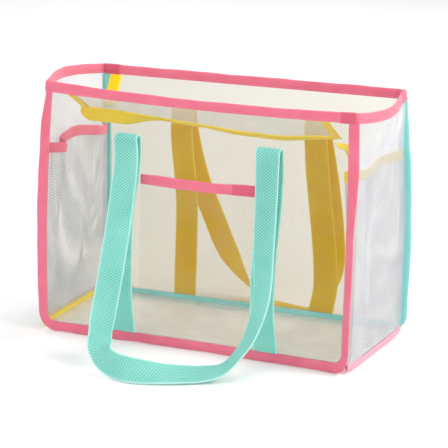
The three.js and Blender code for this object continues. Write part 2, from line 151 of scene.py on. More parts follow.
def sag(points):
    """Where points of the square-cut bag go once it stands, slack and handled."""
    p = np.array(points, float)
    x, y, z = p[..., 0].copy(), p[..., 1].copy(), p[..., 2].copy()
    u, v = np.clip(x / HALF_W, -1, 1), np.clip(y / PANEL_Y, -1, 1)
    w = np.clip(z / HEIGHT, 0, 1)
    left, right = np.clip(-u, 0, 1) ** 1.5, np.clip(u, 0, 1) ** 1.5
    front, back = (1 - v) / 2, (1 + v) / 2
    high, low = w**2, (1 - w) ** 2
    shift = np.zeros(p.shape)
    for share, at in ((high * front, TOP_FRONT), (high * back, TOP_BACK),
                      (low * front, FOOT_FRONT), (low * back, FOOT_BACK)):
        for k in range(2):
            shift[..., k] += share * (left * at[0][k] + right * at[1][k])
    for share, at in ((front, TOP_FRONT), (back, TOP_BACK)):
        shift[..., 2] += w**6 * share * ((1 - u) * at[0][2] + (1 + u) * at[1][2]) / 2
    middle = 1 - u**2
    shift[..., 2] -= RIM_DIP * middle * front * w**8
    shift[..., 1] -= FOOT_BOW * middle * front * low
    belly = np.sin(np.pi * np.clip(z / LOOP_Z, 0, 1)) * np.cos(np.pi * u / 2)
    shift[..., 1] += belly * (BACK_SWELL * back - FRONT_SWELL * front)
    shift[..., 1] += film_ripple(x, z) * np.abs(v) ** 8 * middle * np.clip(z / 40, 0, 1)
    waist = np.sin(np.pi * w)
    for edge, share in (("front left", left**3 * front), ("front right", right**3 * front),
                        ("back right", right**3 * back)):
        shift[..., 0] += EDGE_BULGE[edge] * share * waist
    top = smooth((z - 225) / 55)
    ends = 1 - v**2
    left_end, right_end = np.clip(-u, 0, 1) ** 6, np.clip(u, 0, 1) ** 6
    shift[..., 0] -= LEFT_END_OUT * ends * top * left_end
    shift[..., 2] += LEFT_END_UP * ends * top * left_end
    skew = ends * (1 - 0.55 * v)
    shift[..., 0] += RIGHT_END_OUT * skew * top * right_end
    shift[..., 2] -= RIGHT_END_DOWN * skew * top * right_end
    # the handle roots stay exactly on their hinge lines
    off = np.abs(x - FRONT_SHIFT * (v < 0)) - STRAP_X
    near = (off / HOLD_X) ** 2 + ((z - LOOP_Z) / HOLD_Z) ** 2
    hold = np.exp(-(near**2)) * np.abs(v) ** 4
    return on_floor(p + shift * (1 - hold)[..., None])


def to_row(points):
    return (np.asarray(points, float) + np.array([0, MID_Y, 0])) * MM


def unit(v):
    v = np.asarray(v, float)
    return v / np.maximum(np.linalg.norm(v, axis=-1, keepdims=True), 1e-9)


def link(name, data):
    obj = bpy.data.objects.new(name, data)
    bpy.context.scene.collection.objects.link(obj)
    return obj


def same(direction, count):
    return np.tile(np.array(direction, float), (count, 1))


def square_on(across, path):
    """Turns directions square on to a path. Returns them and the path's own directions."""
    ahead = unit(np.gradient(path, axis=0))
    return unit(across - ahead * np.sum(across * ahead, 1, keepdims=True)), ahead


def lengths(points):
    steps = np.linalg.norm(np.diff(points, axis=0), axis=1)
    return np.concatenate([[0], np.cumsum(steps)])


def rows_at(at, s, rows):
    """Rows of numbers that stand at lengths s, read off at other lengths."""
    return np.stack([np.interp(at, s, column) for column in rows.T], 1)


def evenly(points, step):
    """Points along a polyline every step or so, ends included."""
    points = np.asarray(points, float)
    s = lengths(points)
    return rows_at(np.linspace(0, s[-1], max(2, int(round(s[-1] / step)) + 1)), s, points)


def curve(points, step):
    """A centripetal Catmull-Rom curve through points, resampled evenly."""
    p = np.asarray(points, float)
    p = np.vstack([2 * p[0] - p[1], p, 2 * p[-1] - p[-2]])
    knots = np.concatenate([[0], np.cumsum(np.linalg.norm(np.diff(p, axis=0), axis=1) ** 0.5)])
    out = []
    for i in range(1, len(p) - 2):
        a, b, c, d = p[i - 1 : i + 3]
        t0, t1, t2, t3 = knots[i - 1 : i + 3]
        t = np.linspace(t1, t2, 24, endpoint=i == len(p) - 3)[:, None]

        def mid(low, high, a, b):
            return ((high - t) * a + (t - low) * b) / (high - low)

        ab, bc, cd = mid(t0, t1, a, b), mid(t1, t2, b, c), mid(t2, t3, c, d)
        out.append(mid(t1, t2, mid(t0, t2, ab, bc), mid(t1, t3, bc, cd)))
    return evenly(np.vstack(out), step)


class Body:
    """Vertices, faces and cloth coordinates gathered for one piece."""

    def __init__(self):
        self.points, self.faces, self.cloth, self.count = [], [], [], 0

    def add(self, points, faces, cloth):
        self.points.append(np.asarray(points, float))
        self.cloth.append(np.asarray(cloth, float))
        self.faces += [tuple(i + self.count for i in f) for f in faces]
        self.count += len(points)

    def rings(self, grid, cloth, round_end=False):
        """Skins a row of closed rings, (n, m, 3). round_end joins the last to the first."""
        n, m = grid.shape[:2]
        faces = []
        for i in range(n if round_end else n - 1):
            a, b = i * m, (i + 1) % n * m
            faces += [(a + j, a + (j + 1) % m, b + (j + 1) % m, b + j) for j in range(m)]
        if not round_end:
            faces += [tuple(range(m))[::-1], tuple((n - 1) * m + j for j in range(m))]
        self.add(grid.reshape(-1, 3), faces, cloth.reshape(-1, 2))

    def sheet(self, middle, cloth, thick):
        """A closed sheet of even thickness round an (n, m, 3) grid of middle points."""
        n, m = middle.shape[:2]
        normal = unit(np.cross(np.gradient(middle, axis=0), np.gradient(middle, axis=1)))
        top = (middle + normal * thick / 2).reshape(-1, 3)
        low = (middle - normal * thick / 2).reshape(-1, 3)
        k = n * m
        faces = []
        for i in range(n - 1):
            for j in range(m - 1):
                a, b, c, d = i * m + j, (i + 1) * m + j, (i + 1) * m + j + 1, i * m + j + 1
                faces += [(a, b, c, d), (d + k, c + k, b + k, a + k)]
        ring = [i * m for i in range(n)] + [(n - 1) * m + j for j in range(1, m)]
        ring += [i * m + m - 1 for i in range(n - 2, -1, -1)] + list(range(m - 2, 0, -1))
        for a, b in zip(ring, ring[1:] + ring[:1]):
            faces.append((b, a, a + k, b + k))
        flat = cloth.reshape(-1, 2)
        self.add(np.vstack([top, low]), faces, np.vstack([flat, flat]))

    def piece(self, name, material, body, nodes=(), crease=45):
        mesh = bpy.data.meshes.new(name)
        points = to_row(np.vstack(self.points))
        mesh.from_pydata([tuple(p) for p in points], [], self.faces)
        corner = np.empty(len(mesh.loops), np.int32)
        mesh.loops.foreach_get("vertex_index", corner)
        layer = mesh.uv_layers.new(name="weave")
        layer.data.foreach_set("uv", (np.vstack(self.cloth) * MM)[corner].ravel())
        mesh.materials.append(material)
        mesh.shade_smooth()
        mesh.set_sharp_from_angle(angle=math.radians(crease))
        obj = link(name, mesh)
        if body is not None:
            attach(obj, body)
        if nodes:
            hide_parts(*nodes)
        return obj


# ---- materials ----
class Nodes:
    """Short names for the shader nodes used below."""

    def __init__(self, name):
        self.material = bpy.data.materials.new(name)
        self.material.use_nodes = True
        self.tree = self.material.node_tree
        self.tree.nodes.clear()
        self.out = self.tree.nodes.new("ShaderNodeOutputMaterial")

    def new(self, kind, inputs=(), **settings):
        node = self.tree.nodes.new("ShaderNode" + kind)
        for key, value in settings.items():
            setattr(node, key, value)
        for key, value in dict(inputs).items():
            self.put(node.inputs[key], value)
        return node

    def put(self, socket, value):
        if isinstance(value, bpy.types.NodeSocket):
            self.tree.links.new(value, socket)
        else:
            socket.default_value = value

    def maths(self, operation, a, b=None, clamp=False):
        node = self.new("Math", operation=operation, use_clamp=clamp)
        self.put(node.inputs[0], a)
        if b is not None:
            self.put(node.inputs[1], b)
        return node.outputs[0]

    def total(self, a, b, clamp=False):
        """The sum of two terms, each a value or a (value, weight) pair."""
        a, b = (self.maths("MULTIPLY", *t) if isinstance(t, tuple) else t for t in (a, b))
        return self.maths("ADD", a, b, clamp)

    def blend(self, share, a, b):
        node = self.new("Mix", data_type="RGBA")
        self.put(node.inputs[0], share)
        self.put(node.inputs[6], a)
        self.put(node.inputs[7], b)
        return node.outputs[2]

    def noise(self, scale, detail, rough=0.55, distortion=0.0):
        inputs = {"Scale": scale, "Detail": detail, "Roughness": rough, "Distortion": distortion}
        inputs["Vector"] = self.new("TexCoord").outputs["Object"]
        return self.new("TexNoise", inputs).outputs["Fac"]

    def ramp(self, value, low, high):
        node = self.new("MapRange", {"Value": value, "From Min": low, "From Max": high})
        return node.outputs["Result"]

    def cloth(self):
        """Lengths along and across the cloth, in metres."""
        uv = self.new("UVMap", uv_map="weave")
        split = self.new("SeparateXYZ", {"Vector": uv.outputs["UV"]})
        return split.outputs["X"], split.outputs["Y"]

    def bump(self, height, strength, distance, under=None):
        inputs = {"Height": height, "Strength": strength, "Distance": distance}
        if under is not None:
            inputs["Normal"] = under
        return self.new("Bump", inputs).outputs["Normal"]

    def cover(self, colour, rough, normal, specular=0.5, sheen=0.0, sheen_rough=0.5, metal=0.0):
        inputs = {"Base Color": colour, "Roughness": rough, "Normal": normal, "Metallic": metal,
                  "Specular IOR Level": specular, "Sheen Weight": sheen,
                  "Sheen Roughness": sheen_rough}
        return self.new("BsdfPrincipled", inputs).outputs[0]

    def mix(self, share, a, b):
        return self.new("MixShader", {0: share, 1: a, 2: b}).outputs[0]

    def woven(self, surface, colour, share):
        """Cloth that lets a share of the light through from behind."""
        thin = self.new("BsdfTranslucent", {"Color": colour}).outputs[0]
        return self.finish(self.mix(share, surface, thin))

    def finish(self, surface):
        self.tree.links.new(surface, self.out.inputs["Surface"])
        return self.material


def rgb(red, green, blue):
    """A colour as 0 to 255 display values, as linear light."""
    channels = [c / 255 for c in (red, green, blue)]
    return (*(c / 12.92 if c <= 0.04045 else ((c + 0.055) / 1.055) ** 2.4 for c in channels), 1)


def wave_value(n, along, pitch):
    """A sine wave along a length, from 0 to 1."""
    turn = n.maths("MULTIPLY", along, 2 * math.pi / pitch)
    return n.total((n.maths("SINE", turn), 0.5), 0.5)


# pitches of the weaves, in metres
TAPE_RIB, TAPE_PICK = 0.0026, 0.0013
WEAVE_ROW = 0.0025      # across the webbing, between rows of floats
WEAVE_FLOAT = 0.0036    # along the webbing, between floats
THREAD_TWIST = 0.0006


def tape_material(name, deep, light):
    """Narrow woven binding: fine diagonal ribs, faintly uneven dye, a soft sheen."""
    n = Nodes(name)
    along, across = n.cloth()
    ribs = wave_value(n, n.total((along, 0.8), (across, 0.6)), TAPE_RIB)
    weave = n.total((ribs, 0.75), (wave_value(n, across, TAPE_PICK), 0.25))
    tone = n.total((weave, 0.75), (n.noise(60, 4), 0.6))
    colour = n.blend(n.ramp(tone, 0.25, 1.1), deep, light)
    height = n.total(weave, (n.noise(900, 2), 0.5))
    soft = n.bump(n.noise(140, 2), 0.35, 0.0012)
    normal = n.bump(height, 0.7, 0.0004, soft)
    rough = n.total((n.ramp(weave, 1.6, -1.2), 0.3), 0.5)
    return n.woven(n.cover(colour, rough, normal, 0.3, 0.35), colour, 0.3)


def webbing_material(name, deep, body, light, half_width):
    """Heavy ribbed webbing: offset rows of floats, a painted highlight along both edges, a little
    wear.
    """
    n = Nodes(name)
    along, across = n.cloth()
    row = wave_value(n, across, 2 * WEAVE_ROW)
    step = n.maths("MULTIPLY", n.maths("GREATER_THAN", row, 0.5), WEAVE_FLOAT / 2)
    floats = wave_value(n, n.maths("ADD", along, step), WEAVE_FLOAT)
    ends = wave_value(n, across, WEAVE_ROW)
    weave = n.maths("MULTIPLY", floats, n.total((ends, 0.6), 0.4))
    patch = n.noise(26, 4)
    tone = n.ramp(n.total(weave, (patch, 0.5)), 0.1, 1.1)
    # the pale edges are a painted highlight along the rounded selvedges
    edge = n.ramp(n.maths("ABSOLUTE", across), half_width - 0.0022, half_width - 0.0006)
    colour = n.blend(n.maths("MULTIPLY", edge, 0.75), n.blend(tone, deep, body), light)
    soft = n.bump(n.noise(90, 2), 0.3, 0.001)
    normal = n.bump(n.total(weave, (n.noise(800, 3), 0.25)), 0.55, 0.0005, soft)
    rough = n.total((patch, 0.25), 0.5)
    return n.woven(n.cover(colour, rough, normal, 0.3, 0.25, 0.45), colour, 0.4)


def film_material(name, tint, haze, crumple):
    """Clear vinyl: see-through, faintly warm and grey, with hazy patches and soft wrinkles."""
    n = Nodes(name)
    broad, fine = n.noise(9, 3), n.noise(48, 4, 0.6)
    lines = n.noise(14, 2, 0.5, 1.6)
    normal = n.bump(n.total((broad, 1.6), (lines, 0.8)), crumple, 0.005)
    cloudy = n.ramp(n.total((broad, 0.6), (fine, 0.4)), 0.3, 0.75)
    edge = n.new("LayerWeight", {"Blend": 0.12, "Normal": normal}).outputs["Fresnel"]
    share = n.total((cloudy, haze), (edge, 0.55), clamp=True)
    clear = n.new("BsdfTransparent", {"Color": tint}).outputs[0]
    colour = n.blend(cloudy, rgb(205, 204, 200), rgb(236, 236, 234))
    gloss = n.cover(colour, n.total((cloudy, 0.22), 0.1), normal, 0.6)
    # light that falls on what is behind the film is let through whole
    ray = n.new("LightPath").outputs
    passing = n.maths("MAXIMUM", ray["Is Shadow Ray"], ray["Is Diffuse Ray"])
    whole = n.new("BsdfTransparent").outputs[0]
    return n.finish(n.mix(passing, n.mix(share, clear, gloss), whole))


def net_material(name):
    """White nylon mesh yarn, its grey a painted shade, faintly uneven and slightly glossy."""
    n = Nodes(name)
    fibre, patch = n.noise(1400, 2), n.noise(40, 3)
    tone = n.ramp(n.total((fibre, 0.5), (patch, 0.5)), 0.3, 0.7)
    # the grey range is painted shade on white yarn; the unevenness within it is the yarn's own
    colour = n.blend(tone, rgb(176, 178, 184), rgb(212, 213, 217))
    rough = n.total((patch, 0.3), 0.4)
    return n.finish(n.cover(colour, rough, n.bump(fibre, 0.3, 0.0002), sheen=0.2))


def thread_material(name, deep, light):
    """Twisted polyester sewing thread."""
    n = Nodes(name)
    twist = wave_value(n, n.maths("ADD", *n.cloth()), THREAD_TWIST)
    patch = n.noise(500, 2)
    colour = n.blend(n.total((twist, 0.7), (patch, 0.3)), deep, light)
    rough = n.total((patch, 0.2), 0.4)
    return n.finish(n.cover(colour, rough, n.bump(twist, 0.4, 0.0002), sheen=0.2))


def nickel_material(name):
    """Plated die-cast metal with fine handling marks."""
    n = Nodes(name)
    dull = n.noise(220, 3)
    colour = n.blend(dull, rgb(176, 174, 172), rgb(222, 220, 218))
    marks = n.bump(n.noise(900, 4, 0.5, 0.8), 0.15, 0.0001)
    return n.finish(n.cover(colour, n.total((dull, 0.25), 0.14), marks, metal=1.0))


PINK = tape_material("pink_tape", rgb(234, 94, 126), rgb(252, 152, 176))
# a paler copy of the pink tape: painted light, for tape on the side the light falls on
PINK_PAINTED_LIT = tape_material("pink_tape_painted_lit", rgb(248, 158, 182), rgb(255, 208, 220))
# a deeper copy of the pink tape: painted shade, for the lapped tape ends
PINK_PAINTED_SHADE = tape_material("pink_tape_painted_shade", rgb(216, 80, 110), rgb(244, 122, 150))
MINT_TAPE = tape_material("mint_tape", rgb(124, 222, 218), rgb(186, 248, 247))
YELLOW_TAPE = tape_material("yellow_tape", rgb(255, 222, 10), rgb(255, 242, 70))
# each webbing's last colour is the pale of its painted edge highlight
MINT_WEB = webbing_material(
    "mint_webbing", rgb(98, 196, 182), rgb(186, 242, 234), rgb(220, 250, 245), WEB_W / 2 * MM
)
YELLOW_WEB = webbing_material(
    "yellow_webbing", rgb(246, 198, 0), rgb(255, 244, 16), rgb(255, 246, 90), WEB_W / 2 * MM
)
FILM = film_material("clear_film", (0.93, 0.92, 0.895, 1), 0.04, 0.5)
BACK_FILM_LOOK = film_material("clear_film_back", (0.835, 0.821, 0.785, 1), 0.03, 0.5)
SOFT_FILM = film_material("clear_film_soft", (0.975, 0.97, 0.96, 1), 0.04, 0.3)
# the net's grey is painted shade
NET_PAINTED_SHADE = net_material("white_net")
PINK_THREAD = thread_material("pink_thread", rgb(220, 88, 120), rgb(255, 160, 182))
MINT_THREAD = thread_material("mint_thread", rgb(84, 186, 166), rgb(178, 238, 224))
YELLOW_THREAD = thread_material("yellow_thread", rgb(226, 178, 20), rgb(255, 236, 110))
NICKEL = nickel_material("nickel")

# what a sewn piece is made of: its material, its thread and its slot
PINK_SEWN = (PINK, PINK_THREAD, "pink_tape")
MINT_SEWN = (MINT_TAPE, MINT_THREAD, "mint_tape")
YELLOW_SEWN = (YELLOW_TAPE, YELLOW_THREAD, "yellow_tape")
MINT_STRAP = (MINT_WEB, MINT_THREAD, "mint_webbing")
YELLOW_STRAP = (YELLOW_WEB, YELLOW_THREAD, "yellow_webbing")


# ---- cross-sections ----
def fold_profile(width, thick):
    """A tape folded over an edge: 0 is its open side, width its fold."""
    half = thick / 2
    outer = [
        (0, 0.72), (0.5, 0.9), (1.4, 0.94), (2.3, 0.74), (3.3, 0.98), (width * 0.5, 1.0),
        (width - 2.4, 0.96), (width - 1.1, 0.78), (width - 0.35, 0.45), (width, 0),
    ]
    inner = [(width - 1.4, 0), (width - 2.2, 0.22), (width * 0.5, 0.26), (0, 0.26)]
    up = [(a, b * half) for a, b in outer + inner]
    down = [(a, -b * half) for a, b in inner[::-1] + outer[::-1]]
    ring = up + down
    keep = [p for i, p in enumerate(ring) if p != ring[i - 1]]
    return np.array(keep, float)


def strap_profile(width, thick):
    """Flat webbing with rounded, slightly thicker selvedges."""
    h, t = width / 2, thick / 2
    side = [(h, 0), (h - 0.25, 0.7 * t), (h - 0.9, t), (h - 1.8, 1.02 * t), (h - 2.6, 0.9 * t),
            (h * 0.45, 0.96 * t), (0, 0.96 * t)]
    top = side + [(-a, b) for a, b in side[-2::-1]]
    low = [(-a, -b) for a, b in side[1:]] + [(a, -b) for a, b in side[-2:0:-1]]
    return np.array(top + low, float)


def sweep(path, across, normal, profile, widths=None, puff=None):
    a = profile[None, :, 0, None] * (1 if widths is None else widths[:, None, None])
    b = profile[None, :, 1, None] * (1 if puff is None else puff[:, None, None])
    return path[:, None] + a * across[:, None] + b * normal[:, None]


def cloth_rows(along, across):
    """Cloth coordinates of a swept body: one length along per ring, one across per point."""
    return np.stack(np.broadcast_arrays(along[:, None], across[None, :]), -1)


def band(body, path, across, normal, profile, warp=sag, closed=False, seed=0.0, even=0.0, wide=1.0):
    """Adds a tape swept along a path. even is how far its width and puff wander; wide scales it."""
    s = lengths(path)
    widths = wide * (1 + even * 0.35 * wander(s, seed))
    puff = 1 + even * wander(s * 1.7, seed + 1)
    grid = sweep(path, across, normal, profile, widths, puff)
    body.rings(warp(grid), cloth_rows(s, profile[:, 0]), closed)


def stitches(body, path, across, normal, warp=sag, pitch=3.6, length=2.5, radius=0.26):
    """A row of short thread stitches lying on a path."""
    s = lengths(path)
    count = int(s[-1] / pitch)
    ring = np.array([(math.cos(a), math.sin(a)) for a in np.linspace(0, 2 * math.pi, 6, False)])
    t = np.array([-0.5, -0.38, 0, 0.38, 0.5])
    fat = np.array([0.35, 0.9, 1.0, 0.9, 0.35]) * radius
    sink = np.array([-0.9, -0.2, 0.15, -0.2, -0.9]) * radius
    for i in range(count):
        at = np.clip((i + 0.5) * pitch + t * length, 0, s[-1])
        a, n = unit(rows_at(at, s, across)), unit(rows_at(at, s, normal))
        grid = sweep(rows_at(at, s, path) + n * sink[:, None], a, n, ring, fat, fat)
        body.rings(warp(grid), cloth_rows(at, ring[:, 1]))


STITCH_IN = 2.3


def taped_edge(name, path, across, normal, sewn, node, body="bag", warp=sag, closed=False,
               thick=TAPE_T, seed=0.0, wide=1.0):
    """A folded binding and its two rows of stitches."""
    material, thread, slot = sewn
    tape = Body()
    band(tape, path, across, normal, fold_profile(TAPE_W, thick), warp, closed, seed, 0.09, wide)
    thread_body = Body()
    lift = 0.37 * thick + 0.08
    if closed:
        path, across, normal = (np.vstack([rows, rows[:1]]) for rows in (path, across, normal))
    for side in (1, -1):
        line = path + across * STITCH_IN + normal * side * lift
        stitches(thread_body, line, across, normal * side, warp)
    tape.piece(name, material, body, [node])
    thread_body.piece(name + "_stitches", thread, body)


# ---- front, back and bottom films ----
def film_grid(side, across_count, up_count):
    low, high = FILM_IN, HEIGHT - 1.8
    z = np.linspace(0, 1, up_count) ** 1.15 * (high - low) + low
    half, r = HALF_W - FILM_IN, CORNER_R - FILM_IN
    drop = np.clip(r - (z - low), 0, r)
    reach = half - r + np.sqrt(np.maximum(r**2 - drop**2, 0))
    reach = np.where(z > RIM_Z - 1, 194.0, reach)
    t = np.linspace(-1, 1, across_count)
    x = t[:, None] * reach[None, :]
    y = np.full_like(x, side * PANEL_Y)
    return np.stack([x, y, np.repeat(z[None, :], across_count, 0)], -1)


def film_panel(name, side, node, material):
    grid = film_grid(side, 64, 48)
    body = Body()
    body.sheet(sag(grid), grid[..., [0, 2]], FILM_T)
    return body.piece(name, material, "bag", [node])


front_film = film_panel("front_film", -1, "front_panel", FILM)
back_film = film_panel("back_film", 1, "back_panel", BACK_FILM_LOOK)


def bottom_film_piece():
    x = np.linspace(-1, 1, 48) * (GUSSET_X - 2)
    y = np.linspace(-1, 1, 24) * GUSSET_HALF
    gx, gy = np.meshgrid(x, y, indexing="ij")
    dish = (1 - (gx / GUSSET_X) ** 4) * (1 - (gy / GUSSET_HALF) ** 4)
    ripple = 0.9 * np.sin(gx / 23 + np.sin(gy / 19)) * np.sin(gy / 31 + gx / 90)
    ripple += 0.5 * np.abs(np.sin(gy / 13 + 1.4 * np.sin(gx / 47)))
    gz = 6.4 - 4.6 * dish + ripple * dish
    body = Body()
    body.sheet(sag(np.stack([gx, gy, gz], -1)), np.stack([gx, gy], -1), FILM_T)
    return body.piece("bottom_film", FILM, "bag", ["bottom_panel"])


bottom_film = bottom_film_piece()


# ---- bindings ----
def u_path(step=4.0):
    """Inner edge of the U of tape round a panel, as points and outward directions in X and Z."""
    middle, top = HALF_W - CORNER_R, RIM_Z + 3
    turn = np.radians(np.linspace(180, 270, 10)[1:])
    round_ = np.stack([np.cos(turn), np.sin(turn)], 1)
    heights = np.linspace(top, CORNER_R, int((top - CORNER_R) / step))
    upright = [(TAPE_W - HALF_W, z) for z in heights]
    left = np.vstack([upright, round_ * (CORNER_R - TAPE_W) + (-middle, CORNER_R)])
    left_out = np.vstack([same((-1, 0), len(upright)), round_])
    foot = [(x, TAPE_W) for x in np.linspace(-middle, middle, int(2 * middle / step))[1:-1]]
    points = np.vstack([left, foot, left[::-1] * (-1, 1)])
    return points, np.vstack([left_out, same((0, -1), len(foot)), left_out[::-1] * (-1, 1)])


def panel_binding(side, name, node, sewn, tilts, seed, tuck=0.0):
    """tilts are how far the left and right upright edges turn out of the panel, in degrees, and
    tuck the share of its width that the tape loses at the top left."""
    flat, outward = u_path()
    path = np.stack([flat[:, 0], np.full(len(flat), side * PANEL_Y), flat[:, 1]], 1)
    left, right = tilts
    up = flat[:, 1]
    lean = np.radians(np.where(flat[:, 0] < 0, left(up), right(up)) * np.abs(outward[:, 0]))
    across = unit(np.stack([outward[:, 0] * np.cos(lean), side * np.sin(lean), outward[:, 1]], 1))
    normal = unit(np.cross(unit(np.gradient(path, axis=0)), across))
    top_left = (flat[:, 0] < 0) * smooth((up - 255) / 38)
    taped_edge(name, path, across, normal, sewn, node, seed=seed, wide=1 - tuck * top_left)


panel_binding(
    -1, "front_tape", "front_binding", PINK_SEWN,
    (lambda z: 13 * z / HEIGHT - 10, lambda z: 42 * (1 - smooth((z - 150) / 115))), 0.3, 0.35,
)
panel_binding(
    1, "back_tape", "back_binding", MINT_SEWN, (lambda z: 12 + 0 * z, lambda z: 3 + 0 * z), 1.9,
)


def rim_x(y):
    t = np.minimum(np.abs(y) / GUSSET_HALF, 1)
    return RIM_X + RIM_BULGE * (1 - t * t) ** 2


def rim_plan(step=4.0):
    """The rim's middle line seen from above, closed, and its outward directions."""
    straight, turn_y = RIM_X - RIM_R, PANEL_Y - RIM_R
    turn = np.radians([18, 36, 54, 72, 90])
    corner = np.stack([straight + RIM_R * np.cos(turn), turn_y + RIM_R * np.sin(turn)], 1)
    x = np.linspace(straight, -straight, int(2 * straight / step))[1:]
    y = np.linspace(-GUSSET_HALF, GUSSET_HALF, 42)
    half = np.vstack([
        np.stack([rim_x(y), y], 1), corner, np.stack([x, np.full_like(x, PANEL_Y)], 1),
        corner[-2::-1] * (-1, 1),
    ])
    points = np.vstack([half, -half])
    ahead = unit(np.roll(points, -1, 0) - np.roll(points, 1, 0))
    return points, np.stack([ahead[:, 1], -ahead[:, 0]], 1)


plan, plan_out = rim_plan()
rim_path = np.column_stack([plan, np.full(len(plan), RIM_Z)])
rim_up = same((0, 0, 1), len(plan))
rim_normal = np.column_stack([plan_out, np.zeros(len(plan))])
taped_edge(
    "rim_tape", rim_path, rim_up, rim_normal, PINK_SEWN, "rim_binding", closed=True, seed=0.9,
)


def rim_lap(name, pick, seed):
    """A short end of tape lapped over the rim, where pick says, in a deeper pink that is painted
    shade.
    """
    chosen = [i for i in range(len(plan)) if pick(plan[i])]
    start = next(k for k in range(len(chosen)) if chosen[k] - 1 != chosen[k - 1])
    chosen = chosen[start:] + chosen[:start]
    path, normal = rim_path[chosen] - np.array([0, 0, 0.5]), rim_normal[chosen]
    body = Body()
    profile = fold_profile(TAPE_W + 1.1, TAPE_T + 1.5)
    band(body, path, rim_up[chosen], normal, profile, seed=seed, even=0.1)
    body.piece(name, PINK_PAINTED_SHADE, "bag")


rim_lap("rim_lap_front_right", lambda p: p[1] < -PANEL_Y + 0.1 and 176 < p[0], 2.0)
rim_lap("rim_lap_back_left", lambda p: p[1] > PANEL_Y - 0.1 and p[0] < -174, 3.1)
rim_lap("rim_lap_back_right", lambda p: p[1] > 60 and p[0] > RIM_X - 0.5, 4.2)


# ---- net gussets, their feet and pockets ----
GUSSET_FREE = 235.0     # above this height the net runs out to the rim's curve
CREASE_IN = 8.0         # depth of the soft crease down its middle


def gusset_x(y, z):
    up = np.clip((z - TAPE_W - 1) / 230, 0, 1)
    crease = CREASE_IN * np.exp(-((y / 30) ** 2)) * np.sin(np.pi * up) ** 2
    t = smooth((z - GUSSET_FREE) / (RIM_Z - 2 - GUSSET_FREE))
    return (GUSSET_X - crease) * (1 - t) + rim_x(y) * t


def left_slack(y):
    """How far the pocket's mouth stands in from the gusset: a fold near the front, a low swell."""
    return 17 * np.exp(-(((y + 66) / 10.5) ** 2)) + 9 * np.exp(-(((y - 38) / 30) ** 2))


def right_slack(y):
    return 15 * np.exp(-(((y + 62) / 11.5) ** 2)) + 10 * np.exp(-(((y - 30) / 32) ** 2))


def left_lift(y):
    """How far the left pocket's mouth stands above its sewn height."""
    step = 2 * smooth((y + 62) / 16) - 5 * smooth((y - 20) / 60)
    return step + 6 * np.exp(-(((y + 10) / 35) ** 2))


def pocket_x(y, z, slack):
    rise = smooth((z - 50) / (POCKET_TOP - 60))
    hem = np.clip((GUSSET_HALF - np.abs(y)) / 8, 0, 1)
    return gusset_x(y, z) - 2.2 - slack(y) * rise * hem


def net(name, side, surface, low, high, nodes, lift=None):
    """A fine diamond net laid over surface(y, z), as two crossing families of flat yarns."""
    pitch, slope = 5.8, math.tan(math.radians(30))
    half = GUSSET_HALF - 0.2
    wide, thick = 0.48, 0.21
    ring = np.array([(1, 0), (0.6, 1), (-0.6, 1), (-1, 0), (-0.6, -1), (0.6, -1)]) * (wide, thick)
    body = Body()
    tall = high - low
    for turn in (1, -1):
        for c in np.arange(-half - tall / slope, half + tall / slope, pitch):
            y_at = sorted((c, c + turn * tall / slope))
            y0, y1 = max(y_at[0], -half), min(y_at[1], half)
            if y1 - y0 < 1.5:
                continue
            y = np.linspace(y0, y1, max(2, int((y1 - y0) / 4) + 2))
            z = low + (y - c) * slope * turn
            over = 0.13 * turn * side
            rise = 0 if lift is None else lift(y) * (z - low) / tall
            p = sag(np.stack([side * surface(y, z) + over, y, z + rise], 1))
            n, ahead = square_on(same((1, 0, 0), len(p)), p)
            grid = sweep(p, np.cross(ahead, n), n, ring)
            body.rings(grid, cloth_rows(lengths(p), ring[:, 0]))
    return body.piece(name, NET_PAINTED_SHADE, "bag", nodes, 70)


for side, word, slack, lift in (
    (-1, "left", left_slack, left_lift), (1, "right", right_slack, None),
):
    net(word + "_net", side, gusset_x, 2.0, HEIGHT - 2.5, [word + "_gusset"])
    net(
        word + "_pocket_net", side, partial(pocket_x, slack=slack), TAPE_W + 0.6, POCKET_TOP - 2.2,
        [word + "_pocket"], lift,
    )


def gusset_foot(side, word, sewn, wide):
    y = np.linspace(-GUSSET_HALF, GUSSET_HALF, 42)
    corner = np.exp(-(((np.abs(y) - GUSSET_HALF) / 11) ** 2))
    path = np.stack([side * (GUSSET_X - corner), y, TAPE_W * wide + 0.6 + 2 * corner], 1)
    taped_edge(
        word + "_foot_tape", path, same((0, 0, -1), len(y)), same((side, 0, 0), len(y)), sewn,
        word + "_foot_binding", seed=side * 1.7, wide=wide,
    )


gusset_foot(-1, "left", YELLOW_SEWN, 1.25)
# the right foot's tape takes the paler pink copy: painted light on the lit right side
gusset_foot(1, "right", (PINK_PAINTED_LIT, PINK_THREAD, "pink_tape"), 0.62)


def pocket_mouth(side, word, slack, lift, sewn):
    y = np.linspace(-GUSSET_HALF + 1, GUSSET_HALF - 1, 90)
    z = np.full_like(y, POCKET_TOP - TAPE_W) + (0 if lift is None else lift(y))
    x = side * pocket_x(y, np.full_like(y, POCKET_TOP - 6), slack)
    path = evenly(np.stack([x, y, z], 1), 2.5)
    across = same((0, 0, 1), len(path))
    normal = unit(np.cross(np.gradient(path, axis=0), across)) * side
    taped_edge(
        word + "_pocket_tape", path, across, normal, sewn, word + "_pocket_binding",
        thick=MOUTH_T, seed=side * 0.6 + 2,
    )


pocket_mouth(-1, "left", left_slack, left_lift, PINK_SEWN)
pocket_mouth(1, "right", right_slack, None, YELLOW_SEWN)


# ---- front pocket ----
def front_pocket_y(x, z):
    """x is measured from the middle of the pocket."""
    sewn = SLIP_TOP - TAPE_W
    slack = (1 - np.minimum(np.abs(x) / SLIP_HALF, 1) ** 2) ** 2
    rise = smooth((np.minimum(z, sewn) - 40) / (sewn - 40))
    return -(PANEL_Y + 1.7) - 6.5 * slack * rise


